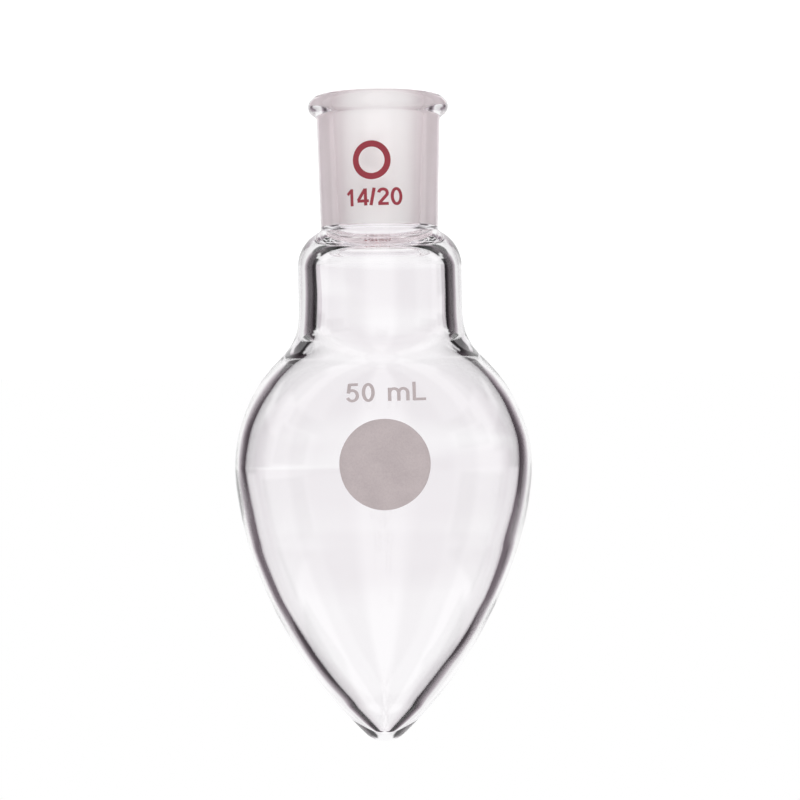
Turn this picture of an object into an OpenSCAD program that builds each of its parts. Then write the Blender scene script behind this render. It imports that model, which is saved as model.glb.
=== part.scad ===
// Pear-shaped flask with a ground socket at its mouth, 50 mL.
// One piece of blown glass, revolved from one profile, with a fired marking
// spot on its front. A flask with a pointed bottom can't stand on it and rolls
// when it lies, so this one stands on its rolled rim, with the mouth down.
// Heights in the profile are counted from the tip towards the mouth.

/* [Belly] */
// Outside diameter of the belly at its widest
belly_d = 46.2; // [43:0.2:50]
// Height of the belly's centre above the tip
belly_z = 43; // [39:0.5:47]
// Radius of the long outside arc from the belly down to the tip
flank_r = 67; // [58:1:85]
// Radius of the long inside arc from the belly down to the tip
flank_inner_r = 61; // [57:1:72]
// Glass thickness round the belly
belly_wall = 1.9; // [1:0.1:2.4]

/* [Tip] */
// Outside radius of the rounded tip
tip_r = 4.4; // [3.4:0.1:5.6]
// Radius of the hollow inside the tip
tip_hollow_r = 1.7; // [1:0.1:2.6]
// Glass thickness at the tip, along the axis
tip_wall = 2.3; // [1.6:0.1:3.4]

/* [Neck] */
// Outside diameter of the straight neck
neck_d = 25.6; // [23:0.2:28]
// Length of the straight neck
neck_len = 8; // [5:0.5:20]
// Glass thickness of the neck
neck_wall = 2.7; // [1.6:0.1:3.4]
// Outside radius of the sweep from the belly into the neck
neck_sweep_r = 8; // [4:0.5:12]
// Inside radius of the same sweep
neck_inner_sweep_r = 8; // [4:0.5:12]

/* [Shoulder] */
// Outside radius of the shoulder over the neck
shoulder_r = 6; // [4:0.25:7]
// Inside radius of the shoulder
shoulder_inner_r = 3.2; // [1.5:0.1:3.6]
// Glass thickness at the top of the shoulder, along the axis
shoulder_wall = 3; // [2:0.1:4]

/* [Ground socket] */
// Bore at the large end of the ground taper
bore_top_d = 14.5; // [14:0.1:15]
// Length of the ground taper
bore_len = 20; // [14:0.5:26]
// Length over which the taper's diameter grows by one
taper_run = 10; // [9:0.5:14]
// Length of clear bore between the shoulder and the ground taper
clear_len = 3.3; // [1.5:0.1:6]
// Rounding where the bore opens into the neck
lip_r = 0.7; // [0.4:0.1:1.2]
// Outside diameter of the socket at the shoulder
socket_low_d = 18.3; // [17.4:0.1:19.4]
// Outside diameter of the socket under the rim
socket_top_d = 19.2; // [18.4:0.1:20]
// Rounding between the shoulder and the socket
socket_fillet_r = 0.8; // [0.4:0.1:1.6]

/* [Rim] */
// How far the rolled rim stands out past the socket under it
rim_out = 1.35; // [0.9:0.05:2.4]
// Radius of the rim's round section
rim_r = 2; // [1.7:0.1:2.4]
// Height of the rim over the ground taper
rim_rise = 0.3; // [0:0.1:1]
// Rounding under the rim
rim_fillet_r = 1; // [0.4:0.1:2]

/* [Marking spot] */
// Diameter of the fired spot
spot_d = 13.4; // [8:0.2:18]
// Thickness of the fired enamel
spot_t = 0.08; // [0.04:0.01:0.2]
// Height of the spot's centre above the tip
spot_z = 43.8; // [36:0.2:50]
// Distance of the spot's centre from the axis, to the right
spot_right = 0.6; // [-3:0.1:3]

/* [Hidden] */
$fn = 96;

// Largest distance between an arc and the chords that stand for it
arc_tol = 0.01;
// How far a cutting shape runs past the glass
past = 1;

belly_r = belly_d / 2;
neck_r = neck_d / 2;
socket_low_r = socket_low_d / 2;
socket_top_r = socket_top_d / 2;
rim_outer_r = socket_top_r + rim_out;
belly_inner_r = belly_r - belly_wall;
neck_inner_r = neck_r - neck_wall;
tip_hollow_z = tip_wall + tip_hollow_r;
bore_top_r = bore_top_d / 2;
bore_low_r = (bore_top_d - bore_len / taper_run) / 2;

// Points of an arc about c, from angle a to angle b
function arc(c, r, a, b) =
    let (n = max(2, ceil(abs(b - a) / (2 * acos(1 - arc_tol / r)))))
    [for (i = [0:n]) c + r * [cos(a + (b - a) * i / n), sin(a + (b - a) * i / n)]];

// Direction from point p to point q
function heading(p, q) = atan2(q[1] - p[1], q[0] - p[0]);

// Centre of the arc of radius r that holds a belly and a tip, both centred on
// the axis, and touches each of them
function flank_centre(r, big_r, big_z, tip_r, tip_z) =
    let (z = (pow(r - tip_r, 2) - pow(r - big_r, 2) + pow(big_z, 2) - pow(tip_z, 2))
             / (2 * (big_z - tip_z)))
    [-sqrt(pow(r - big_r, 2) - pow(z - big_z, 2)), z];

// Height over (1) or under (-1) the circle of radius r about c at which a
// circle of radius r2, centred at distance x from the axis, touches it outside
function touching_z(c, r, x, r2, side) = c[1] + side * sqrt(pow(r + r2, 2) - pow(x - c[0], 2));

function reversed(points) = [for (i = [len(points) - 1:-1:0]) points[i]];

// Tip, flank and belly in one sweep, grown outwards by g
function pear(tip_r, tip_z, r, big_r, big_z, end, g) =
    let (c = flank_centre(r, big_r, big_z, tip_r, tip_z),
         low = heading(c, [0, tip_z]), high = heading(c, [0, big_z]))
    concat(arc([0, tip_z], tip_r + g, -90, low), arc(c, r + g, low, high),
           arc([0, big_z], big_r + g, high, end));

// Centres of the outside arcs
belly_c = [0, belly_z];
sweep_x = neck_r + neck_sweep_r;
sweep_c = [sweep_x, touching_z(belly_c, belly_r, sweep_x, neck_sweep_r, 1)];
shoulder_c = [neck_r - shoulder_r, sweep_c[1] + neck_len];
fillet_x = socket_low_r + socket_fillet_r;
fillet_c = [fillet_x, touching_z(shoulder_c, shoulder_r, fillet_x, socket_fillet_r, 1)];

// Centres of the inside arcs, and the heights along the socket
inner_sweep_x = neck_inner_r + neck_inner_sweep_r;
inner_sweep_c = [inner_sweep_x,
                 touching_z(belly_c, belly_inner_r, inner_sweep_x, neck_inner_sweep_r, 1)];
bore_z = shoulder_c[1] + shoulder_r - shoulder_wall;
inner_shoulder_c = [neck_inner_r - shoulder_inner_r, bore_z - shoulder_inner_r];
lip_c = [bore_low_r + lip_r, bore_z + lip_r];
ground_z = bore_z + clear_len;
rim_z = ground_z + bore_len + rim_rise;
rim_c = [rim_outer_r - rim_r, rim_z - rim_r];
under_rim_x = socket_top_r + rim_fillet_r;
under_rim_c = [under_rim_x, touching_z(rim_c, rim_r, under_rim_x, rim_fillet_r, -1)];

// Outside of the pear up to the sweep, grown by g
function pear_outside(g) =
    pear(tip_r, tip_r, flank_r, belly_r, belly_z, heading(belly_c, sweep_c), g);

// Outside of the glass, from the tip to the middle of the rim
outside = concat(
    pear_outside(0),
    arc(sweep_c, neck_sweep_r, 180 + heading(belly_c, sweep_c), 180),
    arc(shoulder_c, shoulder_r, 0, heading(shoulder_c, fillet_c)),
    arc(fillet_c, socket_fillet_r, 180 + heading(shoulder_c, fillet_c), 180),
    arc(under_rim_c, rim_fillet_r, 180, heading(under_rim_c, rim_c)),
    arc(rim_c, rim_r, heading(under_rim_c, rim_c) - 180, 90),
    arc(rim_c, rim_r, 90, 180),
    [[0, rim_c[1]]]);

// Inside of the glass, from the hollow in the tip to past the mouth
inside = concat(
    pear(tip_hollow_r, tip_hollow_z, flank_inner_r, belly_inner_r, belly_z,
         heading(belly_c, inner_sweep_c), 0),
    arc(inner_sweep_c, neck_inner_sweep_r, 180 + heading(belly_c, inner_sweep_c), 180),
    arc(inner_shoulder_c, shoulder_inner_r, 0, 90),
    arc(lip_c, lip_r, 270, 180),
    [[bore_low_r, ground_z],
     [bore_top_r + (rim_rise + past) / taper_run / 2, rim_z + past],
     [0, rim_z + past]]);

// Turns the flask over on to its rim, with its front still facing -Y
module at_rest() {
    translate([0, 0, rim_z])
        rotate([0, 180, 0])
            children();
}

module flask() {
    color([0.90, 0.88, 0.91, 0.45])
        at_rest()
            rotate_extrude()
                difference() {
                    polygon(outside);
                    polygon(inside);
                }
}

// Skin of thickness t on the outside of the pear, all the way round
module pear_skin(t) {
    rotate_extrude()
        polygon(concat(pear_outside(t), reversed(pear_outside(0))));
}

module marking_spot() {
    color([0.68, 0.62, 0.63])
        at_rest()
            intersection() {
                pear_skin(spot_t);
                translate([spot_right, 0, spot_z])
                    rotate([90, 0, 0])
                        cylinder(d = spot_d, h = belly_r + past);
            }
}

flask();
marking_spot();
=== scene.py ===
"""Dresses the pear-shaped flask: its blown glass, its frosted socket and its fired marks.

The flask stands upside down on its rolled rim, because a pointed bottom can't
stand. The camera is turned over with it, so the picture shows the mouth on top.
Sizes are in millimetres along the flask's own axis, counted from the tip, with
x to the right and the front at -y; `new_piece` turns them over into metres.
"""

import logging
import math
from dataclasses import dataclass
from enum import Enum
from functools import partial
from typing import ClassVar

import bpy
import numpy as np
from mathutils import Matrix, Vector

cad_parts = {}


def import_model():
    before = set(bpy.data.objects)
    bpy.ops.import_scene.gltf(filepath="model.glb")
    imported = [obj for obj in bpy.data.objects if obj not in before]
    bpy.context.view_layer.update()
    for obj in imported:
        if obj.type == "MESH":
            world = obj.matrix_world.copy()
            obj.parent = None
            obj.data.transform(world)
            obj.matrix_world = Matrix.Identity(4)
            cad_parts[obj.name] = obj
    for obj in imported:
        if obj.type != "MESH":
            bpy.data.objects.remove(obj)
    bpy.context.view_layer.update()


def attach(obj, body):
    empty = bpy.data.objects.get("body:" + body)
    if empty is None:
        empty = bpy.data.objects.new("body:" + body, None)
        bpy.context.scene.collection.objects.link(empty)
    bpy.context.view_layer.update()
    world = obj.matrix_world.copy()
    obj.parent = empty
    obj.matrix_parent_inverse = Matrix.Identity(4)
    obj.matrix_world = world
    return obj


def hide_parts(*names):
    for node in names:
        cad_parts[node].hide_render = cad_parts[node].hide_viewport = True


LOG = logging.getLogger("flask")
BODY = "root"
MM = 0.001
HALF_TURN = 180
GLASS_IOR = 1.473
# Limits that a count passes when it reaches one, two or three
ONCE, TWICE, THRICE = 0.5, 1.5, 2.5

Point = tuple[float, float]
Triple = tuple[float, float, float]
Row = tuple[float, ...]
Levels = tuple[Point, ...]
Socket = bpy.types.NodeSocket


class Shade(Enum):
    """Colours of the fired prints, as linear red, green and blue."""

    RED = (0.26, 0.022, 0.036)
    GREY = (0.40, 0.345, 0.35)


# Shape helpers


def arc(centre: Point, radius: float | Point, start: float, end: float, turn: float = 4.0,
        step: float = 0.55) -> np.ndarray:
    """Points of an arc or an upright ellipse: the centre plus the radius times (cos, sin).

    Args:
        centre: Centre of the arc.
        radius: Radius, or half width and half height.
        start: First angle in degrees.
        end: Last angle in degrees.
        turn: Largest angle between two chords, in degrees.
        step: Longest chord.

    Returns:
        Rows of points.
    """
    sweep, halves = abs(end - start), np.broadcast_to(radius, 2)
    count = max(3, math.ceil(sweep / turn), math.ceil(math.radians(sweep) * halves[0] / step))
    angles = np.radians(np.linspace(start, end, count + 1))
    return centre + halves * np.stack([np.cos(angles), np.sin(angles)], 1)


def line(start: Point, end: Point, step: float = 0.8) -> np.ndarray:
    """Points of a straight stretch: the two ends and even steps between them.

    Args:
        start: First point.
        end: Last point.
        step: Longest step.

    Returns:
        Rows of points.
    """
    count = max(1, math.ceil(math.dist(start, end) / step))
    share = np.linspace(0, 1, count + 1)[:, None]
    return np.asarray(start) * (1 - share) + np.asarray(end) * share


def heading(p: Point, q: Point) -> float:
    """Direction from one point to another, worked out with the arc tangent.

    Args:
        p: First point.
        q: Second point.

    Returns:
        The direction in degrees.
    """
    return math.degrees(math.atan2(q[1] - p[1], q[0] - p[0]))


@dataclass(frozen=True)
class GlassProfile:
    """The flask's half section: sizes and the arcs that they give.

    Its points are (distance from the axis, height above the tip).
    """

    belly_r: float = 23.1
    belly_z: float = 43.0
    flank_r: float = 67.0
    flank_inner_r: float = 61.0
    belly_wall: float = 1.9
    tip_r: float = 4.4
    tip_hollow_r: float = 1.7
    tip_wall: float = 2.3
    neck_r: float = 12.8
    neck_len: float = 8.0
    neck_wall: float = 2.7
    sweep_r: float = 8.0
    shoulder_r: float = 6.0
    shoulder_inner_r: float = 3.2
    shoulder_wall: float = 3.0
    bore_top_r: float = 7.25
    bore_len: float = 20.0
    bore_slope: float = 0.05
    clear_len: float = 3.3
    lip_r: float = 0.7
    socket_low_r: float = 9.15
    socket_top_r: float = 9.6
    socket_fillet_r: float = 0.8
    rim_out_r: float = 10.95
    rim_r: float = 2.0
    rim_rise: float = 0.3
    rim_fillet_r: float = 1.0
    round_depths: Row = (0, 4, 6.5, 200)
    pressed_depths: Row = (0, 3.35, 6.5, 200)
    ease_from: float = 48.0
    ease_over: float = 3.0
    ease_spread: float = 1.1
    outer_ease_end: float = 73.0
    inner_ease_end: float = 72.0
    calm_under: float = 1.5
    calm_over: float = 6.0
    rim_zone: float = 6.0
    levels: Row = (0, 7, 14, 22, 31, 37, 43, 47, 55, 67)
    outer_shift: Row = (0.05, 0.1, 0.12, 0.12, 0.2, 0.25, 0.25, 0.25, 0.12, 0.05)
    inner_shift: Row = (0, 0, 0.02, 0.02, 0.03, 0.05, 0.08, 0.22, 0.2, 0.17)
    outer_swell: Row = (0, 0, 0, 0.03, 0.22, 0.16, 0.05, 0.05, 0, 0)
    inner_swell: Row = (0, -0.2, -0.06, 0.02, 0.05, 0.15, 0.24, 0.18, 0, 0)

    @staticmethod
    def touching(centre: Point, radius: float, x: float, other: float, side: int) -> Point:
        """Centre of a circle at distance x from the axis that touches another one outside.

        Args:
            centre: Centre of the first circle.
            radius: Its radius.
            x: Distance of the sought centre from the axis.
            other: Radius of the sought circle.
            side: 1 to lie over the first circle, -1 to lie under it.

        Returns:
            The sought centre: the height follows from the sum of the radii by Pythagoras.
        """
        return x, centre[1] + side * math.sqrt((radius + other) ** 2 - (x - centre[0]) ** 2)

    def pear(self, tip_r: float, tip_z: float, flank_r: float, belly_r: float, neck_r: float,
             neck_z: float) -> list[np.ndarray]:
        """Tip, flank, belly and sweep, as arcs that touch each other, and the straight neck.

        Args:
            tip_r: Radius of the tip's arc.
            tip_z: Height of its centre on the axis.
            flank_r: Radius of the long arc.
            belly_r: Radius of the belly's arc.
            neck_r: Radius of the neck.
            neck_z: Height at which the neck ends.

        Returns:
            Each stretch's rows, from the tip upwards.
        """
        z = ((flank_r - tip_r) ** 2 - (flank_r - belly_r) ** 2
             + self.belly_z ** 2 - tip_z ** 2) / (2 * (self.belly_z - tip_z))
        centre = (-math.sqrt((flank_r - belly_r) ** 2 - (z - self.belly_z) ** 2), z)
        belly_c = (0, self.belly_z)
        sweep_c = self.touching(belly_c, belly_r, neck_r + self.sweep_r, self.sweep_r, 1)
        low, high, turn = (heading(centre, (0, tip_z)), heading(centre, belly_c),
                           heading(belly_c, sweep_c))
        return [
            arc((0, tip_z), tip_r, -90, low),
            arc(centre, flank_r, low, high),
            arc(belly_c, belly_r, high, turn),
            arc(sweep_c, self.sweep_r, 180 + turn, 180),
            line((neck_r, sweep_c[1]), (neck_r, neck_z)),
        ]

    @property
    def shoulder_c(self) -> Point:
        """Centre of the outside shoulder arc."""
        _, sweep_z = self.touching((0, self.belly_z), self.belly_r, self.neck_r + self.sweep_r,
                                   self.sweep_r, 1)
        return self.neck_r - self.shoulder_r, sweep_z + self.neck_len

    @property
    def bore_z(self) -> float:
        """Height of the shoulder's inside face, where the socket's bore begins."""
        return self.shoulder_c[1] + self.shoulder_r - self.shoulder_wall

    @property
    def ground_z(self) -> float:
        """Height at which the frosted taper begins."""
        return self.bore_z + self.clear_len

    @property
    def rim_z(self) -> float:
        """Height of the rim's top, which is the flask's whole length."""
        return self.ground_z + self.bore_len + self.rim_rise

    @property
    def rim_c(self) -> Point:
        """Centre of the rim's round section."""
        return self.rim_out_r - self.rim_r, self.rim_z - self.rim_r

    def bore_r(self, z: float) -> float:
        """Radius of the ground taper: it grows by a twentieth of the height.

        Args:
            z: Height above the tip.

        Returns:
            The radius there.
        """
        return self.bore_top_r - self.bore_slope * (self.ground_z + self.bore_len - z)

    def mouth_edge(self) -> Point:
        """Finds where the bore's cone meets the round of the rim, by halving the interval.

        Returns:
            The point.
        """
        low, high = self.rim_c[1], self.rim_z
        for _ in range(40):
            mid = (low + high) / 2
            inside = math.dist((self.bore_r(mid), mid), self.rim_c) < self.rim_r
            low, high = (mid, high) if inside else (low, mid)
        return self.bore_r(low), low

    def eased(self, points: np.ndarray, end: float) -> np.ndarray:
        """Drops repeated points and softens the joints of the arcs from belly to neck.

        There each point moves to the mean of its surroundings along the profile, weighted
        by a bell curve. The move fades out towards both ends of the stretch.

        Args:
            points: Rows of points.
            end: Height at which the stretch ends.

        Returns:
            The moved rows.
        """
        step, reach, same = 0.2, 20, 1e-3
        points = points[np.r_[True, np.hypot(*np.diff(points, axis=0).T) > same]]
        along = np.r_[0, np.cumsum(np.hypot(*np.diff(points, axis=0).T))]
        even = np.arange(0, along[-1], step)
        bell = np.exp(-0.5 * (np.arange(-reach, reach + 1) * step / self.ease_spread) ** 2)
        moves = []
        for column in points.T:
            track = np.interp(even, along, column)
            mean = np.convolve(track, bell / bell.sum(), "same")
            moves.append(np.interp(along, even, mean - track))
        z = points[:, 1:]
        return (points + np.stack(moves, 1) * np.clip((z - self.ease_from) / self.ease_over, 0, 1)
                * np.clip((end - z) / self.ease_over, 0, 1))

    def outside(self) -> np.ndarray:
        """Outer half section from the tip to where the rim meets the frosted bore.

        The rim's round is flattened a little: depths under 4 mm shrink by a sixth, and
        the stretch below makes up for it.

        Returns:
            Rows of points.
        """
        shoulder_c, rim_c = self.shoulder_c, self.rim_c
        fillet_c = self.touching(shoulder_c, self.shoulder_r,
                                 self.socket_low_r + self.socket_fillet_r, self.socket_fillet_r, 1)
        under_c = self.touching(rim_c, self.rim_r, self.socket_top_r + self.rim_fillet_r,
                                self.rim_fillet_r, -1)
        high, under = heading(shoulder_c, fillet_c), heading(under_c, rim_c)
        points = np.concatenate([
            *self.pear(self.tip_r, self.tip_r, self.flank_r, self.belly_r, self.neck_r,
                       shoulder_c[1]),
            arc(shoulder_c, self.shoulder_r, 0, high),
            arc(fillet_c, self.socket_fillet_r, 180 + high, 180, turn=12),
            line((self.socket_low_r, fillet_c[1]), (self.socket_top_r, under_c[1])),
            arc(under_c, self.rim_fillet_r, 180, under, turn=9),
            arc(rim_c, self.rim_r, under - 180, heading(rim_c, self.mouth_edge()) % 360, turn=5),
        ])
        depth = self.rim_z - points[:, 1]
        points[:, 1] = self.rim_z - np.interp(depth, self.round_depths, self.pressed_depths)
        return self.eased(points, self.outer_ease_end)

    def inside(self) -> np.ndarray:
        """Inner half section from the hollow in the tip to the end of the clear bore.

        Returns:
            Rows of points.
        """
        neck_r, bore_r = self.neck_r - self.neck_wall, self.bore_r(self.ground_z)
        shoulder_c = (neck_r - self.shoulder_inner_r, self.bore_z - self.shoulder_inner_r)
        lip_c = (bore_r + self.lip_r, self.bore_z + self.lip_r)
        points = np.concatenate([
            *self.pear(self.tip_hollow_r, self.tip_wall + self.tip_hollow_r, self.flank_inner_r,
                       self.belly_r - self.belly_wall, neck_r, shoulder_c[1]),
            arc(shoulder_c, self.shoulder_inner_r, 0, 90, turn=5),
            line((shoulder_c[0], self.bore_z), (lip_c[0], self.bore_z)),
            arc(lip_c, self.lip_r, 270, 180, turn=9),
            line((bore_r, lip_c[1]), (bore_r, self.ground_z)),
        ])
        return self.eased(points, self.inner_ease_end)

    def fade(self, radius: np.ndarray, z: np.ndarray) -> np.ndarray:
        """How much of the glass's unevenness holds.

        Args:
            radius: Distances from the axis.
            z: Heights above the tip.

        Returns:
            Shares from 0, on the axis and past the shoulder, to 1.
        """
        return (np.clip((self.bore_z - self.calm_under - z) / self.calm_over, 0, 1)
                * np.clip(radius / self.calm_over, 0, 1))

    def front(self, x: np.ndarray, z: np.ndarray, lift: np.ndarray | float) -> np.ndarray:
        """The y of the glass's front seen straight on, from its radius by Pythagoras.

        Args:
            x: Distances to the right of the axis.
            z: Heights above the tip, below the rim.
            lift: Distance outwards from the glass.

        Returns:
            The y of each point, on the bent skin.
        """
        points, under_rim = self.outside(), self.rim_z - self.rim_zone
        points = points[: int(np.argmax(points[:, 1] > under_rim))]
        radius = np.interp(z, points[:, 1], points[:, 0])
        fade = self.fade(radius, z)
        swollen = radius + fade * np.interp(z, self.levels, self.outer_swell) + lift
        shifted = x - fade * np.interp(z, self.levels, self.outer_shift)
        return -np.sqrt(swollen ** 2 - shifted ** 2)


PROFILE = GlassProfile()


def grid_faces(rows: int, columns: int, first: int = 0, closed: bool = False) -> np.ndarray:
    """Quads of a grid of rings that each close on themselves: each cell's four corners.

    Args:
        rows: Number of rings.
        columns: Number of points in a ring.
        first: Index of the first point.
        closed: Whether the last ring joins the first.

    Returns:
        An array of four indices a row.
    """
    i, j = np.meshgrid(np.arange(rows - 1 + closed), np.arange(columns), indexing="ij")
    k, below = (j + 1) % columns, (i + 1) % rows
    corners = [i * columns + j, i * columns + k, below * columns + k, below * columns + j]
    return first + np.stack([c.ravel() for c in corners], 1)


def closed_skin(grid: np.ndarray, poles: list, turned: bool = False) -> tuple[np.ndarray, list]:
    """Joins rings into one closed skin, with a fan of triangles at each end.

    Args:
        grid: Rings by points by (x, y, z).
        poles: The point before the first ring and the one after the last.
        turned: Whether to turn every face over.

    Returns:
        The points, poles first, and the faces: the quads and then both fans.
    """
    rows, columns = grid.shape[:2]
    ring = np.arange(columns)
    after = (ring + 1) % columns
    last = 2 + (rows - 1) * columns
    blocks = (grid_faces(rows, columns, 2),
              np.stack([np.zeros(columns, int), 2 + after, 2 + ring], 1),
              np.stack([np.ones(columns, int), last + ring, last + after], 1))
    order = -1 if turned else 1
    faces = [face for block in blocks for face in block[:, ::order].tolist()]
    return np.concatenate([poles, grid.reshape(-1, 3)]), faces


# Finishes


class NodeSketch:
    """A material's or world's node tree, with short calls to fill it."""

    def __init__(self, owner: bpy.types.Material | bpy.types.World) -> None:
        """Empties the owner's node tree and keeps it.

        Args:
            owner: Material or world to draw in.
        """
        owner.use_nodes = True
        self.tree = owner.node_tree
        self.tree.nodes.clear()

    def node(self, kind: str, links: dict | None = None, **settings: object) -> bpy.types.Node:
        """Adds a node, sets its properties and links or sets its inputs.

        Args:
            kind: Node type without its ShaderNode prefix.
            links: Input name or index, with a socket to link or a value to set.
            **settings: Properties of the node.

        Returns:
            The new node.
        """
        made = self.tree.nodes.new("ShaderNode" + kind)
        for key, value in settings.items():
            setattr(made, key, value)
        for key, value in (links or {}).items():
            if isinstance(value, Socket):
                self.tree.links.new(value, made.inputs[key])
            else:
                made.inputs[key].default_value = value
        return made

    def calc(self, operation: str, a: Socket | float, b: Socket | float = 0.0) -> Socket:
        """Adds a calculation with one or two values.

        Args:
            operation: Operation of the Math node.
            a: First value.
            b: Second value, where the operation takes one.

        Returns:
            The result's socket.
        """
        return self.node("Math", {0: a, 1: b}, operation=operation).outputs[0]

    def part(self, value: Socket, low: float, high: float, start: float = 0.0,
             end: float = 1.0) -> Socket:
        """Adds a straight map from one range to another, held at its ends.

        Args:
            value: Socket to map.
            low: Value that becomes the start.
            high: Value that becomes the end.
            start: First result.
            end: Last result.

        Returns:
            The result's socket.
        """
        return self.node("MapRange", {"Value": value, "From Min": low, "From Max": high,
                                      "To Min": start, "To Max": end}).outputs[0]

    def mix(self, share: Socket | float, base: Socket, top: Socket | tuple,
            blend: str = "MIX") -> Socket:
        """Adds a mix of two colours.

        Args:
            share: How much of the mix holds.
            base: First colour.
            top: Second colour, a socket or four numbers.
            blend: How the second is laid over the first.

        Returns:
            The mixed colour's socket.
        """
        return self.node("Mix", {0: share, 6: base, 7: top}, data_type="RGBA",
                         blend_type=blend).outputs[2]

    def pick(self, share: Socket | float, no: Socket, yes: Socket) -> Socket:
        """Adds a mix of two shaders.

        Args:
            share: Share of the second shader.
            no: Shader at 0.
            yes: Shader at 1.

        Returns:
            The mixed shader's socket.
        """
        return self.node("MixShader", {0: share, 1: no, 2: yes}).outputs[0]

    def grain(self, scale: float, detail: float) -> Socket:
        """Adds noise on object coordinates.

        Args:
            scale: Grains to the metre.
            detail: Number of finer layers.

        Returns:
            The noise's value.
        """
        place = self.node("TexCoord").outputs["Object"]
        return self.node("TexNoise", {"Vector": place, "Scale": scale,
                                      "Detail": detail}).outputs["Fac"]

    def bump(self, height: Socket, strength: float, depth: float) -> Socket:
        """Adds a relief.

        Args:
            height: Height of the relief, from 0 to 1.
            strength: How much of it holds.
            depth: Metres that a height of 1 stands for.

        Returns:
            The bent normal's socket.
        """
        return self.node("Bump", {"Strength": strength, "Distance": depth,
                                  "Height": height}).outputs[0]

    def ramp(self, factor: Socket, stops: list[tuple[float, Triple]],
             interpolation: str = "LINEAR") -> Socket:
        """Adds a colour ramp and returns its colour output.

        Args:
            factor: Socket that drives the ramp.
            stops: Position and colour of each stop.
            interpolation: How the ramp runs between stops.

        Returns:
            The ramp's colour socket.
        """
        made = self.node("ValToRGB", {"Fac": factor})
        ramp = made.color_ramp
        ramp.interpolation = interpolation
        while len(ramp.elements) < len(stops):
            ramp.elements.new(1.0)
        for element, (position, colour) in zip(ramp.elements, stops):
            element.position = position
            element.color = (*colour, 1)
        return made.outputs["Color"]

    def glow(self, colour: float | Socket, kind: str = "Emission") -> Socket:
        """Adds a shader that glows with an even grey level or with a colour.

        Args:
            colour: Grey level or colour socket.
            kind: Emission for a surface, Background for a world.

        Returns:
            The shader's socket.
        """
        value = (colour,) * 3 + (1,) if isinstance(colour, float) else colour
        return self.node(kind, {"Color": value, "Strength": 1.0}).outputs[0]

    def by_ray(self, seen: Socket, soft: Socket, mirrored: Socket, outline: Socket,
               through: Socket) -> Socket:
        """Picks one of five shaders by what the ray has met on its way.

        Args:
            seen: For rays straight from the camera.
            soft: For rays that a matt surface has scattered, before or after glass.
            mirrored: For rays off a smooth surface.
            outline: For rays that stayed in the glass wall between two outer faces.
            through: For rays that have crossed the hollow too.

        Returns:
            The mixed shader's socket.
        """
        path = self.node("LightPath").outputs
        crossed, entered, scattered = (
            self.calc("GREATER_THAN", path[name], limit) for name, limit in (
                ("Transmission Depth", THRICE), ("Transmission Depth", ONCE),
                ("Diffuse Depth", ONCE)))
        inside = self.pick(crossed, outline, through)
        sharp = self.pick(entered, mirrored, inside)
        clean = self.pick(scattered, sharp, soft)
        later = self.pick(path["Is Glossy Ray"], soft, clean)
        return self.pick(path["Is Camera Ray"], later, seen)


@dataclass(frozen=True)
class Finish:
    """A finish: its name and the nodes that make it."""

    name: str

    def surface(self, sketch: NodeSketch) -> Socket:
        """Draws the finish.

        Args:
            sketch: Empty node tree.

        Returns:
            The shader's socket.
        """
        raise NotImplementedError

    def make(self) -> bpy.types.Material:
        """Makes the material.

        Returns:
            The new material.
        """
        material = bpy.data.materials.new(self.name)
        sketch = NodeSketch(material)
        sketch.node("OutputMaterial", {"Surface": self.surface(sketch)})
        return material


@dataclass(frozen=True)
class ClearGlass(Finish):
    """Fire-polished borosilicate glass."""

    name: str = "clear_glass"
    tint: Triple = (0.995, 0.988, 0.996)
    shadow: Triple = (0.955, 0.95, 0.957)
    turns: int = 3

    def surface(self, sketch: NodeSketch) -> Socket:
        """Draws glass that lets lamp light through to the floor.

        Light that has run along inside the wall for several reflections leaves it straight
        on, so thick corners stay calm.

        Args:
            sketch: Empty node tree.

        Returns:
            The shader's socket.
        """
        glass = sketch.node("BsdfPrincipled", {
            "Base Color": (*self.tint, 1), "Roughness": 0.0, "IOR": GLASS_IOR,
            "Transmission Weight": 1.0}).outputs[0]
        clear = sketch.node("BsdfTransparent", {"Color": (*self.shadow, 1)}).outputs[0]
        path = sketch.node("LightPath").outputs
        trapped = sketch.calc("GREATER_THAN", path["Glossy Depth"], self.turns + 0.5)
        either = sketch.calc("MAXIMUM", path["Is Shadow Ray"], trapped)
        return sketch.pick(either, glass, clear)


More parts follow.
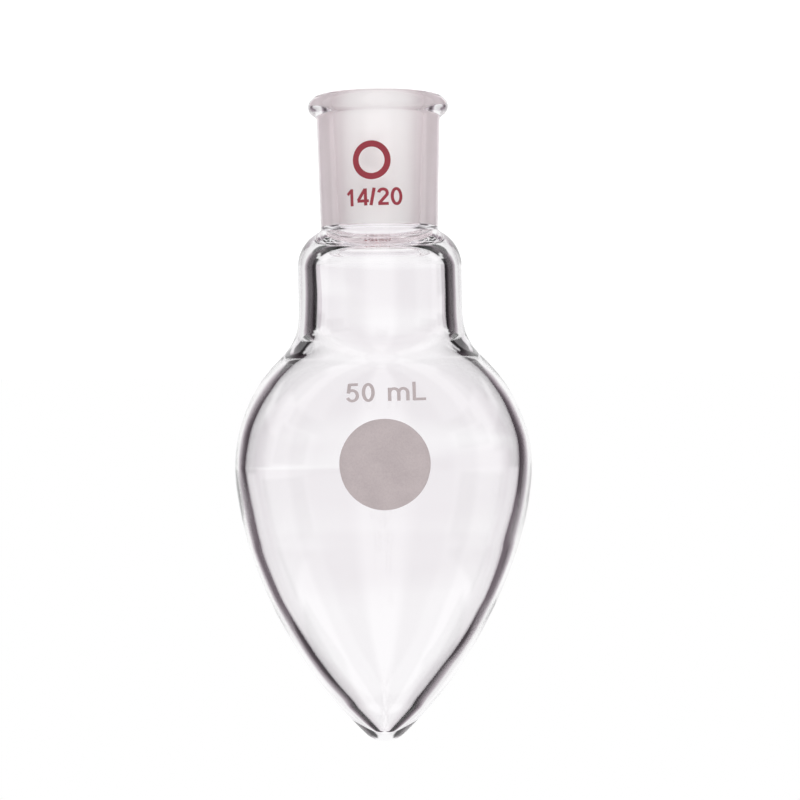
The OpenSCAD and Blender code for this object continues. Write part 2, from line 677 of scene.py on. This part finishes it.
@dataclass(frozen=True)
class GroundGlass(Finish):
    """The socket's taper, ground to an even frost."""

    name: str = "ground_glass"
    tint: Triple = (0.95, 0.94, 0.945)
    chalk: Triple = (0.97, 0.955, 0.945)
    # Painted shade of the chalky skin: its colour at a slant, and a little lighter again at the
    # very edge
    painted_side_shade: Triple = (0.65, 0.56, 0.58)
    painted_edge_shade: Triple = (0.87, 0.76, 0.79)
    shadow: Triple = (0.86, 0.85, 0.855)
    falls: Levels = ((0.0, 1.0), (0.35, 0.97), (1.0, 0.85))
    shade_slants: Row = (0.05, 0.29, 0.36, 0.57)
    frost_top: float = 0.0236
    matt: float = 0.72
    roughness: Point = (0.44, 0.56)
    grain: Point = (5200.0, 3.0)
    relief: Point = (0.12, 0.00003)

    def surface(self, sketch: NodeSketch) -> Socket:
        """Draws rough glass with a chalky skin. Painted shade makes it greyer at a slant, and it is
        greyer towards the neck.

        Noise on object coordinates changes the grain a little from place to place.

        Args:
            sketch: Empty node tree.

        Returns:
            The shader's socket.
        """
        grain = sketch.grain(*self.grain)
        frost = sketch.part(grain, 0.3, 0.7, *self.roughness)
        bump = sketch.bump(grain, *self.relief)
        glass = sketch.node("BsdfPrincipled", {
            "Base Color": (*self.tint, 1), "Roughness": frost, "IOR": GLASS_IOR,
            "Transmission Weight": 1.0, "Normal": bump}).outputs[0]
        # Painted shade: the skin's colour follows how slanted the surface is to the ray, greyest
        # towards the sides
        slant = sketch.node("LayerWeight", {"Blend": 0.5}).outputs["Facing"]
        chalk_and_painted_shade = (self.chalk, self.painted_side_shade, self.painted_side_shade, self.painted_edge_shade)
        shaded_powder = sketch.ramp(slant, list(zip(self.shade_slants, chalk_and_painted_shade)), "EASE")
        place = sketch.node("TexCoord").outputs["Object"]
        depth = sketch.node("SeparateXYZ", {0: place}).outputs["Z"]
        fall = sketch.ramp(sketch.part(depth, 0.0, self.frost_top),
                           [(share, (level,) * 3) for share, level in self.falls])
        shaded_powder = sketch.mix(1.0, shaded_powder, fall, "MULTIPLY")
        white = sketch.node("BsdfDiffuse", {"Color": shaded_powder, "Normal": bump}).outputs[0]
        frosted = sketch.pick(self.matt, glass, white)
        clear = sketch.node("BsdfTransparent", {"Color": (*self.shadow, 1)}).outputs[0]
        shaded = sketch.node("LightPath").outputs["Is Shadow Ray"]
        return sketch.pick(shaded, frosted, clear)


@dataclass(frozen=True)
class FiredEnamel(Finish):
    """Ceramic ink, fired on: matt, with a faint mottle and fine pinholes."""

    colour: Triple
    roughness: float = 0.55
    mottle: float = 0.08
    cloud: Point = (260.0, 3.0)
    speck: Point = (4200.0, 2.0)
    relief: Point = (0.25, 0.00002)

    def surface(self, sketch: NodeSketch) -> Socket:
        """Draws ink with a soft gloss; noise on object coordinates varies its tone.

        Args:
            sketch: Empty node tree.

        Returns:
            The shader's socket.
        """
        cloud, speck = sketch.grain(*self.cloud), sketch.grain(*self.speck)
        tone = sketch.part(sketch.calc("ADD", cloud, speck), 0.7, 1.3)
        low = tuple(c * (1 - self.mottle) for c in self.colour)
        high = tuple(min(1.0, c * (1 + self.mottle)) for c in self.colour)
        colour = sketch.ramp(tone, [(0.0, low), (1.0, high)])
        bump = sketch.bump(speck, *self.relief)
        return sketch.node("BsdfPrincipled", {
            "Base Color": colour, "Roughness": self.roughness, "Normal": bump}).outputs[0]


# Pieces


def new_piece(name: str, points: np.ndarray, faces: list, slot: str, *finishes: Finish,
              flat: bool = False) -> bpy.types.Object:
    """Makes a mesh piece from points in the flask's own frame and hands it to the frame.

    The upright flask is turned over on to its rim: x and z change sign, and z gains the
    flask's length.

    Args:
        name: Name of the piece.
        points: Rows of (x, y, z) in millimetres.
        faces: Index tuples, each running anticlockwise as seen from outside.
        slot: Not used.
        *finishes: What the faces are made of, the first unless a face says otherwise.
        flat: Whether each face is shaded flat.

    Returns:
        The new object, at the origin, riding on the flask's body.
    """
    mesh = bpy.data.meshes.new(name)
    world = (points * [-1, 1, -1] + [0, 0, PROFILE.rim_z]) * MM
    mesh.from_pydata(world.tolist(), [], faces)
    mesh.validate()
    if flat:
        mesh.shade_flat()
    else:
        mesh.shade_smooth()
    for finish in finishes:
        mesh.materials.append(finish.make())
    piece = bpy.data.objects.new(name, mesh)
    bpy.context.scene.collection.objects.link(piece)
    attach(piece, BODY)
    return piece


@dataclass
class BlownGlass:
    """The flask's one piece of glass, with the small unevenness of lampwork."""

    profile: GlassProfile
    segments: int = 200
    taper_step: float = 0.7
    wave_reach: Triple = (6.1, 2.9, 1.7)
    outer_wave: float = 0.02
    inner_wave: float = 0.03
    outer_phase: float = 0.4
    inner_phase: float = 1.9
    seam_z: float = 62.6
    seam_width: float = 0.6
    seam_depth: float = 0.012

    def half_section(self) -> tuple[np.ndarray, int, int]:
        """The whole loop: up the outside, over the rim and down the inside.

        Returns:
            The rows of (distance, height), the index at which the frosted taper begins
            and the index at which it ends.
        """
        outer, inner = self.profile.outside(), self.profile.inside()[::-1]
        taper = line(tuple(outer[-1]), tuple(inner[0]), self.taper_step)[1:-1]
        points = np.concatenate([outer, taper, inner])
        points[[0, -1], 0] = 0
        return points, len(outer) - 1, len(outer) + len(taper)

    def surface(self, points: np.ndarray, start: int) -> np.ndarray:
        """Turns the half section round the axis and adds slow waves to its radius.

        A wave is the sum of three products, each of a sine of the height and a sine of
        the angle. It fades out at the rim, in the ground taper and on the axis. Each skin
        is also swollen and moved to the right by a few tenths, read between the levels,
        and the inner one has a faint raised ring where the neck was joined on.

        Args:
            points: Rows of (distance, height).
            start: Index of the first row of the inner skin.

        Returns:
            An array of rings by segments by (x, y, z), in millimetres.
        """
        turn = np.arange(self.segments) * (2 * math.pi / self.segments)
        radius, height = points[:, :1], points[:, 1:]
        inner = (np.arange(len(points)) >= start)[:, None]
        phase = np.where(inner, self.inner_phase, self.outer_phase)
        slow, middle, quick = (height / reach for reach in self.wave_reach)
        wave = (np.sin(slow + phase) * np.sin(2 * turn + phase)
                + 0.7 * np.sin(middle + 2 * phase) * np.sin(3 * turn + 0.8)
                + 0.5 * np.sin(quick + phase) * np.cos(turn + 1.1 * phase))
        fade = self.profile.fade(radius, height)
        size = np.where(inner, self.inner_wave, self.outer_wave)
        bell = np.exp(-((height - self.seam_z) / self.seam_width) ** 2)
        seam = np.where(inner, self.seam_depth, 0.0) * bell
        swell, shift = (
            np.where(inner, *(np.interp(height, self.profile.levels, row) for row in rows))
            for rows in ((self.profile.inner_swell, self.profile.outer_swell),
                         (self.profile.inner_shift, self.profile.outer_shift)))
        swollen = radius + fade * (size * wave + swell) - seam * np.clip(radius, 0, 1)
        x = swollen * np.sin(turn) + shift * fade
        y = -swollen * np.cos(turn)
        return np.stack([x, y, np.broadcast_to(height, x.shape)], 2)

    def build(self) -> bpy.types.Object:
        """Makes the glass with its two finishes and lets it stand for the CAD flask.

        Returns:
            The new piece.
        """
        points, rim_end, taper_end = self.half_section()
        rings = self.surface(points, rim_end)[1:-1]
        poles = [[0, 0, points[0, 1]], [0, 0, points[-1, 1]]]
        vertices, faces = closed_skin(rings, poles)
        piece = new_piece("blown_glass", vertices, faces, "glass", ClearGlass(), GroundGlass())
        row = np.repeat(np.arange(len(rings) - 1), self.segments) + 1
        slots = np.zeros(len(faces), np.int32)
        slots[: len(row)] = (row >= rim_end) & (row < taper_end)
        piece.data.polygons.foreach_set("material_index", slots)
        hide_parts("flask")
        return piece


@dataclass
class MarkingSpot:
    """The round enamel spot on the front of the belly, for writing on."""

    diameter: float = 13.4
    height: float = 43.8
    right: float = 0.6
    thickness: float = 0.07
    sunk: float = 0.02
    edge: float = 0.1
    sides: int = 96
    rings: int = 24
    edge_rings: int = 6
    wobble: Point = (0.0025, 0.0015)
    finish: FiredEnamel = FiredEnamel("marking_enamel", Shade.GREY.value)

    def build(self) -> bpy.types.Object:
        """Two discs on the glass, joined at the edge, in one closed skin.

        A point at polar place (rho, angle) of the disc is seen straight from the front:
        x and z are those of the disc, and y is that of the glass's front. The outer disc
        thins out towards its edge along a quarter circle.

        Returns:
            The new piece, which stands for the CAD spot.
        """
        rho = np.concatenate([np.linspace(0.04, 0.94, self.rings),
                              1 - np.geomspace(0.045, 0.002, self.edge_rings), [1]])
        fall = ((rho - (1 - self.edge)) / self.edge).clip(0)
        lift = self.thickness * np.sqrt(np.clip(1 - fall ** 2, 0, 1))
        rho = np.concatenate([rho, rho[::-1]])[:, None]
        lift = np.concatenate([lift, np.full(len(lift), -self.sunk)])[:, None]
        turn = np.linspace(0, 2 * math.pi, self.sides + 1)[:-1]
        broad, fine = self.wobble
        wobble = 1 + broad * np.sin(3 * turn + 1) + fine * np.sin(7 * turn)
        x = self.right + rho * wobble * np.cos(turn) * self.diameter / 2
        z = self.height + rho * wobble * np.sin(turn) * self.diameter / 2
        grid = np.stack([x, PROFILE.front(x, z, lift), z], 2)
        poles = [[self.right, float(PROFILE.front(self.right, self.height, side)), self.height]
                 for side in (self.thickness, -self.sunk)]
        vertices, faces = closed_skin(grid, poles, turned=True)
        piece = new_piece("enamel_spot", vertices, faces, "marking_enamel", self.finish)
        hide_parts("marking_spot")
        return piece


@dataclass(frozen=True)
class Glyph:
    """One printed sign: its width and the middle lines of its strokes, one unit tall."""

    width: float
    strokes: tuple[np.ndarray, ...]


def plain_glyphs() -> dict[str, Glyph]:
    """Plain grotesque digits and letters, drawn as bars and bows over a base line at 0.

    Returns:
        Each sign's glyph.
    """
    bar, bow = partial(line, step=0.12), partial(arc, turn=8)
    arches = [bow((x, 0.42), (0.25, 0.24), 165, 0) for x in (0.35, 0.85)]
    return {
        " ": Glyph(0.38, ()),
        "0": Glyph(0.68, (bow((0.34, 0.49), (0.26, 0.44), 0, 360),)),
        "1": Glyph(0.53, (bar((0.32, 0), (0.32, 0.99)), bar((0.33, 0.94), (0.05, 0.67)))),
        "2": Glyph(0.66, (np.concatenate([bow((0.325, 0.695), (0.245, 0.225), 172, -34),
                                          bar((0.50, 0.54), (0.10, 0.11))]),
                          bar((0.03, 0.07), (0.64, 0.07)))),
        "4": Glyph(0.64, (bar((0.51, 0), (0.51, 0.99)), bar((0.49, 0.95), (0.06, 0.30)),
                          bar((0.02, 0.265), (0.70, 0.265)))),
        "5": Glyph(0.70, (bar((0.15, 0.93), (0.65, 0.93)), bar((0.185, 0.98), (0.11, 0.46)),
                          bow((0.325, 0.335), (0.285, 0.28), 148, -158))),
        "/": Glyph(0.33, (bar((0.06, 0), (0.27, 1.01)),)),
        "L": Glyph(0.77, (bar((0.10, 0), (0.10, 1)), bar((0.05, 0.06), (0.77, 0.06)))),
        "m": Glyph(1.19, (bar((0.10, 0), (0.10, 0.71)),
                          np.concatenate([arches[0], bar((0.60, 0.36), (0.60, 0))]),
                          np.concatenate([arches[1], bar((1.10, 0.36), (1.10, 0))]))),
    }


@dataclass
class FiredPrint:
    """A flat drawing printed on the glass and fired, with its middle at the stated place."""

    name: str
    right: float
    height: float
    finish: FiredEnamel

    @staticmethod
    def bar(middle: np.ndarray, half: Point, low: float, top: float) -> tuple[np.ndarray, list]:
        """Sweeps a flat four-cornered section along a stroke's middle line.

        The section's half width is the unit normal times the pen's half width and
        height, so upright stretches are as wide as the pen and level ones as tall.

        Args:
            middle: Rows of (x, y) in millimetres. Equal ends make a closed ring.
            half: The pen's half width and half height.
            low: How far the bar's back lies outwards from the glass.
            top: How far its front does.

        Returns:
            Rows of (x, y, z) and the faces, each anticlockwise as seen from outside.
        """
        closed = bool(np.allclose(middle[0], middle[-1]))
        if closed:
            middle = middle[:-1]
            along = np.roll(middle, -1, 0) - np.roll(middle, 1, 0)
        else:
            along = np.gradient(middle, axis=0)
        along /= np.hypot(*along.T)[:, None]
        side = np.stack([-along[:, 1], along[:, 0]], 1) * half
        corners = [(middle + side, low), (middle - side, low), (middle - side, top),
                   (middle + side, top)]
        rings = np.stack([np.column_stack([edge, np.full(len(edge), z)])
                          for edge, z in corners], 1)
        faces = grid_faces(len(rings), 4, closed=closed).tolist()
        if not closed:
            last = 4 * (len(rings) - 1)
            faces += [(3, 2, 1, 0), (last, last + 1, last + 2, last + 3)]
        return rings.reshape(-1, 3), faces

    def lay(self, drawing: np.ndarray, faces: list) -> bpy.types.Object:
        """Bends the drawing round the flask: x becomes an arc and y a height.

        Upright lines stay upright as seen from the front, and the distance to the front
        follows by Pythagoras.

        Args:
            drawing: Rows of (x, y, distance outwards) in millimetres.
            faces: Index tuples.

        Returns:
            The new piece.
        """
        z = self.height + drawing[:, 1]
        middle = -float(PROFILE.front(0.0, self.height, 0.0))
        x = middle * np.sin((self.right + drawing[:, 0]) / middle)
        bent = np.stack([x, PROFILE.front(x, z, drawing[:, 2]), z], 1)
        return new_piece(self.name, bent, faces, "marking_enamel", self.finish, flat=True)


@dataclass
class FiredNumbers(FiredPrint):
    """A line of plain signs."""

    words: str
    width: float
    tall: float
    pen: Point = (0.19, 0.145)
    gap: float = 0.17
    slant: float = 1.0
    thickness: float = 0.05
    sunk: float = 0.02
    stagger: float = 0.004

    def build(self) -> bpy.types.Object:
        """Turns each stroke into a thin closed bar and bends it round the glass.

        The signs are set side by side, centred about the origin, scaled to the stated
        width and height and turned by the slant. Each stroke lies a few thousandths of a
        millimetre over the one before it, so that two of them never share a plane.

        Returns:
            The new piece.
        """
        glyphs = plain_glyphs()
        starts = np.cumsum([0.0] + [glyphs[sign].width + self.gap for sign in self.words])
        middle = np.array([(starts[-1] - self.gap) / 2, 0.5])
        scale = np.array([self.width / (starts[-1] - self.gap), self.tall])
        half = self.tall / 2 * np.array(self.pen)
        points, faces, used, top = [], [], 0, self.thickness
        for sign, start in zip(self.words, starts):
            for stroke in glyphs[sign].strokes:
                bar, cells = self.bar((stroke + [start, 0] - middle) * scale, half, -self.sunk, top)
                points.append(bar)
                faces += [tuple(used + k for k in cell) for cell in cells]
                used += len(bar)
                top += self.stagger
        c, s = math.cos(math.radians(self.slant)), math.sin(math.radians(self.slant))
        flat = np.concatenate(points)
        flat[:, :2] = flat[:, :2] @ [[c, s], [-s, c]]
        return self.lay(flat, faces)


@dataclass
class PrintedRing(FiredPrint):
    """A plain ring."""

    outer_d: float = 5.9
    stroke: float = 0.95
    proud: float = 0.045
    sunk: float = 0.015

    def build(self) -> bpy.types.Object:
        """Sweeps a band of rectangular section round a circle and bends it round the socket.

        Returns:
            The new piece.
        """
        half = self.stroke / 2
        circle = arc((0, 0), self.outer_d / 2 - half, 0, 360, turn=3.75)
        return self.lay(*self.bar(circle, (half, half), -self.sunk, self.proud))


# Studio


@dataclass(frozen=True)
class Patch:
    """A part of the surroundings, by turn in degrees and by steepness, with its brightness."""

    turn: Point
    steep: Point
    level: float
    soft_turn: ClassVar[float] = 2.0
    soft_steep: ClassVar[float] = 0.02

    @staticmethod
    def window(span: Point, soft: float, whole: float) -> list[tuple[float, Triple]]:
        """Ramp stops that rise from 0 to 1 at the span's start and fall back at its end.

        Args:
            span: Start and end.
            soft: Half width of the rise and of the fall.
            whole: The place that stands at the ramp's end.

        Returns:
            Stops for `NodeSketch.ramp`.
        """
        places = (span[0] - soft, span[0] + soft, span[1] - soft, span[1] + soft)
        return [(place / whole, (share,) * 3) for place, share in zip(places, (0.0, 1.0, 1.0, 0.0))]

    def over(self, sketch: NodeSketch, turn: Socket, steep: Socket, mask: Socket,
             base: Socket) -> Socket:
        """Lays the patch over a colour: the share is the product of both windows and the mask.

        Args:
            sketch: Node tree to add to.
            turn: Turn of the ray as a share of a half turn.
            steep: Steepness of the ray.
            mask: Where the patch may hold.
            base: Colour under the patch.

        Returns:
            The mixed colour.
        """
        across = sketch.ramp(turn, self.window(self.turn, self.soft_turn, HALF_TURN))
        along = sketch.ramp(steep, self.window(self.steep, self.soft_steep, 1))
        share = sketch.calc("MULTIPLY", sketch.calc("MULTIPLY", across, along), mask)
        return sketch.mix(share, base, (self.level,) * 3 + (1,))


@dataclass(frozen=True)
class BrightField:
    """The surroundings, as those of a bright-field picture.

    They are white behind the glass and dark to the left and right of it, so that the
    walls show dark bands. The same holds seen from the sides and the back. Levels are
    pairs of place and brightness. The place is a turn in degrees, or a steepness.
    """

    mauve: Triple = (1.0, 0.80, 0.93)
    open_level: float = 0.85
    mirror_levels: Levels = (
        (0, 1), (26, 1), (30, 0.75), (34, 0.35), (38, 0.08), (44, 0.03), (74, 0.03),
        (80, 1), (100, 1), (106, 0.03), (150, 0.03), (163, 1), (180, 1))
    wall_levels: Levels = (
        (0, 1), (18, 1), (20, 0.88), (23, 0.55), (26, 0.38), (29, 0.24), (32, 0.115),
        (35, 0.075), (44, 0.065), (47, 0.04), (49.5, 0.012), (57, 0.012), (61, 0.5), (66, 0.9),
        (80, 1), (116, 1), (124, 0.3), (150, 0.3), (163, 1), (180, 1))
    through_levels: Levels = (
        (0, 1), (8, 1), (13, 0.98), (22, 0.99), (26, 0.96), (28, 0.62), (30, 0.68), (36, 0.62),
        (45, 0.75), (60, 0.95), (75, 1), (105, 1), (125, 0.9), (155, 0.9), (163, 1),
        (180, 1))
    steep_through: Levels = (
        (0, 1), (0.02, 0.98), (0.04, 0.92), (0.07, 0.91), (0.12, 0.98), (0.25, 1),
        (0.34, 0.9))
    steep_band: Levels = (
        (0, 0), (0.12, 0), (0.2, 0.18), (0.40, 0.18), (0.46, 0.05), (1, 0.1))
    steep_rest: Levels = (
        (0, 0), (0.07, 0), (0.10, 0.6), (0.25, 0.6), (0.35, 0.7), (0.46, 0.7),
        (0.56, 0.5), (0.7, 0.3), (1, 0.3))
    far_turn: Point = (41, 45)
    floor_patches: tuple[Patch, ...] = (
        Patch((15, 30), (0.345, 0.55), 0.12),
        Patch((58, 78), (0.06, 0.31), 0.2),
        Patch((50, 66), (0.28, 0.34), 0.03),
        Patch((48, 62), (0.36, 0.46), 0.8),
        Patch((42, 52), (0.43, 0.50), 0.75),
        Patch((80, 114), (0.15, 0.44), 0.04),
        Patch((84, 124), (0.46, 0.60), 0.03),
        Patch((36, 80), (0.61, 0.85), 0.02))
    near_patches: tuple[Patch, ...] = (
        Patch((66, 114), (0.14, 0.5), 0.04), Patch((38, 80), (0.57, 0.85), 0.06))

    def stops(self, levels: Levels, whole: float) -> list[tuple[float, Triple]]:
        """Ramp stops for a brightness over an angle or a steepness.

        Args:
            levels: Pairs of place and brightness. The darker a stop, the more mauve it is.
            whole: The place that stands at the ramp's end.

        Returns:
            Stops for `NodeSketch.ramp`.
        """
        stops = []
        for place, level in levels:
            tint = np.array(self.mauve) ** (1 - level)
            stops.append((place / whole, tuple(level * tint)))
        return stops

    @staticmethod
    def angles(sketch: NodeSketch) -> tuple[Socket, Socket]:
        """Works out where a ray goes.

        Args:
            sketch: Node tree to add to.

        Returns:
            The turn from the line of sight as seen from above, as a share of a half turn,
            which is the arc cosine of the y of the levelled ray, and the steepness, which
            is the size of the ray's z.
        """
        ray = sketch.node("TexCoord").outputs["Generated"]
        level = sketch.node("VectorMath", {0: ray, 1: (1, 1, 0)}, operation="MULTIPLY")
        level = sketch.node("VectorMath", {0: level.outputs[0]}, operation="NORMALIZE")
        level = sketch.node("SeparateXYZ", {0: level.outputs[0]})
        turn = sketch.calc("DIVIDE", sketch.calc("ARCCOSINE", level.outputs["Y"]), math.pi)
        z = sketch.node("SeparateXYZ", {0: ray}).outputs["Z"]
        return turn, sketch.calc("ABSOLUTE", z)

    def build(self) -> None:
        """Makes the world: white for the camera, even for matt surfaces, dark-sided for glass.

        Each kind of ray has its own brightness over the turn. Steep rays that came
        straight from the glass wall see a lighter field, and more so when they have
        turned far. Patches lie over the field, other ones for the rays by the floor,
        which have been mirrored twice.
        """
        world = bpy.data.worlds.new("studio")
        bpy.context.scene.world = world
        sketch = NodeSketch(world)
        turn, steep = self.angles(sketch)
        mirrored, wall, through = (
            sketch.ramp(turn, self.stops(levels, HALF_TURN))
            for levels in (self.mirror_levels, self.wall_levels, self.through_levels))
        paler, band, rest = (
            sketch.ramp(steep, self.stops(levels, 1))
            for levels in (self.steep_through, self.steep_band, self.steep_rest))
        far = sketch.part(turn, *(place / HALF_TURN for place in self.far_turn))
        lift = sketch.mix(far, band, rest)
        mirrors = sketch.node("LightPath").outputs["Glossy Depth"]
        twice = sketch.calc("GREATER_THAN", mirrors, TWICE)
        once = sketch.calc("SUBTRACT", 1.0, twice)
        for patch in self.floor_patches:
            wall = patch.over(sketch, turn, steep, twice, wall)
        edge = sketch.mix(once, wall, lift, "LIGHTEN")
        for patch in self.near_patches:
            edge = patch.over(sketch, turn, steep, once, edge)
        hollow = sketch.mix(1.0, through, paler, "MULTIPLY")
        colours = (1.0, self.open_level, mirrored, edge, hollow)
        shaders = [sketch.glow(colour, "Background") for colour in colours]
        sketch.node("OutputWorld", {"Surface": sketch.by_ray(*shaders)})


@dataclass(frozen=True)
class Lamp:
    """A round soft lamp, aimed at the flask's lower part."""

    name: str
    place: Triple
    power: float
    size: float = 0.5
    aim: Triple = (0, 0, 0.05)

    def build(self) -> bpy.types.Object:
        """Makes the lamp, which the camera and the glass don't see.

        Returns:
            The lamp.
        """
        light = bpy.data.lights.new(self.name, "AREA")
        light.shape = "DISK"
        light.size = self.size
        light.energy = self.power
        lamp = bpy.data.objects.new(self.name, light)
        turn = (Vector(self.place) - Vector(self.aim)).to_track_quat("Z", "Y")
        lamp.matrix_world = Matrix.Translation(self.place) @ turn.to_matrix().to_4x4()
        lamp.visible_glossy = lamp.visible_transmission = lamp.visible_camera = False
        bpy.context.scene.collection.objects.link(lamp)
        return lamp


@dataclass(frozen=True)
class PaleFloor(Finish):
    """The floor: white with a faint shadow for the camera, a light gloss for glass."""

    name: str = "pale_floor"
    grey: float = 0.6
    glow: float = 0.57
    graze: Point = (0.80, 0.87)

    def surface(self, sketch: NodeSketch) -> Socket:
        """Draws a matt, softly glowing floor that mirrors what glass rays bring to it.

        Args:
            sketch: Empty node tree.

        Returns:
            The shader's socket.
        """
        matt = sketch.node("BsdfDiffuse", {"Color": (self.grey,) * 3 + (1,)}).outputs[0]
        seen = sketch.node("AddShader", {0: matt, 1: sketch.glow(self.glow)}).outputs[0]
        gloss = sketch.node("BsdfGlossy", {"Color": (1, 1, 1, 1), "Roughness": 0.0}).outputs[0]
        facing = sketch.node("LayerWeight", {"Blend": 0.5}).outputs["Facing"]
        under = sketch.pick(sketch.part(facing, *self.graze), sketch.glow(1.0), gloss)
        return sketch.by_ray(seen, seen, gloss, gloss, under)


@dataclass
class Studio:
    """Floor, surroundings, lamps and the camera."""

    surroundings: BrightField = BrightField()
    lamps: tuple[Lamp, ...] = (
        Lamp("lamp_left", (-0.7, -0.8, 0.5), 2.2), Lamp("lamp_right", (0.7, -0.8, 0.5), 2.2),
        Lamp("lamp_top", (0.0, 0.1, 1.1), 2.0))
    floor_half: float = 4.0
    floor_z: float = -0.0001
    distance: float = 0.363
    aim_z: float = 0.0475
    offset: float = -0.00292
    lean: float = -0.66
    lens: float = 104.5
    sensor: float = 36.0
    clip: Point = (0.01, 50.0)
    bounces: int = 32
    mirror_bounces: int = 16

    def floor(self) -> bpy.types.Object:
        """Makes the floor, just under the rim.

        Returns:
            The floor.
        """
        mesh = bpy.data.meshes.new("studio_floor")
        h, z = self.floor_half, self.floor_z
        mesh.from_pydata([(-h, -h, z), (h, -h, z), (h, h, z), (-h, h, z)], [], [(0, 1, 2, 3)])
        mesh.materials.append(PaleFloor().make())
        floor = bpy.data.objects.new("studio_floor", mesh)
        bpy.context.scene.collection.objects.link(floor)
        return floor

    def camera(self) -> bpy.types.Object:
        """Level camera before the front, turned over with the flask and leaning a little.

        The camera's right is -X turned by the lean, its up is -Z turned likewise, and it
        looks along +Y.

        Returns:
            The camera.
        """
        data = bpy.data.cameras.new("camera")
        data.lens = self.lens
        data.sensor_width = self.sensor
        data.clip_start, data.clip_end = self.clip
        camera = bpy.data.objects.new("camera", data)
        lean = math.radians(self.lean)
        c, s = math.cos(lean), math.sin(lean)
        rows = ((-c, s, 0.0), (0.0, 0.0, -1.0), (-s, -c, 0.0))
        camera.matrix_world = (Matrix.Translation((self.offset, -self.distance, self.aim_z))
                               @ Matrix(rows).to_4x4())
        bpy.context.scene.collection.objects.link(camera)
        bpy.context.scene.camera = camera
        return camera

    def build(self) -> None:
        """Makes the studio and sets how far light is followed through the glass."""
        self.surroundings.build()
        self.floor()
        for lamp in self.lamps:
            lamp.build()
        self.camera()
        scene = bpy.context.scene
        scene.view_settings.view_transform = "Standard"
        scene.cycles.max_bounces = self.bounces
        scene.cycles.transmission_bounces = self.bounces
        scene.cycles.glossy_bounces = self.mirror_bounces
        scene.cycles.transparent_max_bounces = self.bounces


def main() -> None:
    """Loads the frame, builds every piece and the studio, and notes the sizes."""
    logging.basicConfig(level=logging.INFO, format="%(name)s: %(message)s")
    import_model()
    makers = [
        BlownGlass(PROFILE),
        MarkingSpot(),
        FiredNumbers("capacity_mark", 0.93, 54.46, FiredEnamel("grey_ink", Shade.GREY.value),
                     "50 mL", 11.96, 2.74),
        FiredNumbers("joint_size_mark", -0.68, 84.27, FiredEnamel("red_ink", Shade.RED.value),
                     "14/20", 8.77, 2.61, pen=(0.19, 0.17), gap=0.12, slant=1.3),
        PrintedRing("printed_ring", -1.02, 89.85, FiredEnamel("red_ink_ring", Shade.RED.value)),
    ]
    for maker in makers:
        piece = maker.build()
        LOG.info("%s: %d faces", piece.name, len(piece.data.polygons))
    Studio().build()


if __name__ == "__main__":
    main()
